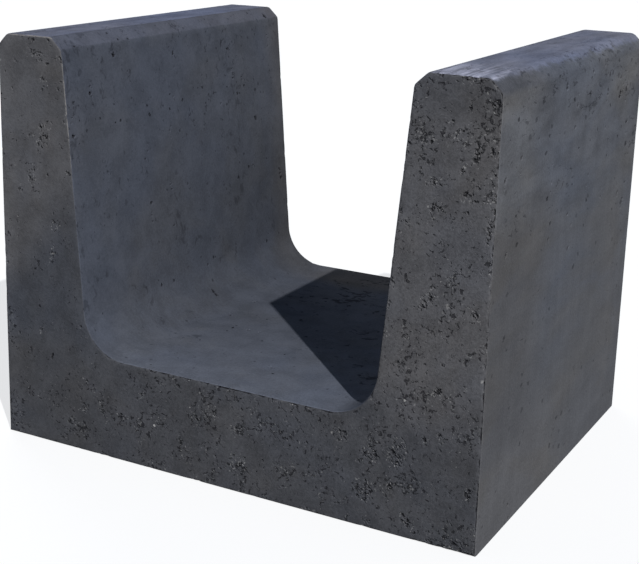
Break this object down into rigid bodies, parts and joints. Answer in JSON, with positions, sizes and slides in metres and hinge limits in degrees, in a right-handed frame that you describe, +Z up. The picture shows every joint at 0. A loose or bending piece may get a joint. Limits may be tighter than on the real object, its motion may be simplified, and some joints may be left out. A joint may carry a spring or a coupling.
{
  "type": "concrete u-block",
  "caption": "Solid cast concrete U-block: a flat base with tapered, chamfered legs and a filleted open channel, laid in rows as edging, a bench end or a planter trough.",
  "frame": {"origin": "centre of the underside, on the floor that the block stands on", "axes": "+Z up from the base to the leg tops, +X across the two legs, +Y along the open channel"},
  "size_m": [0.5, 0.4, 0.4],
  "materials": {
    "concrete": "matte"
  },
  "bodies": {
    "root": {"u_block": "concrete"}
  },
  "joints": []
}
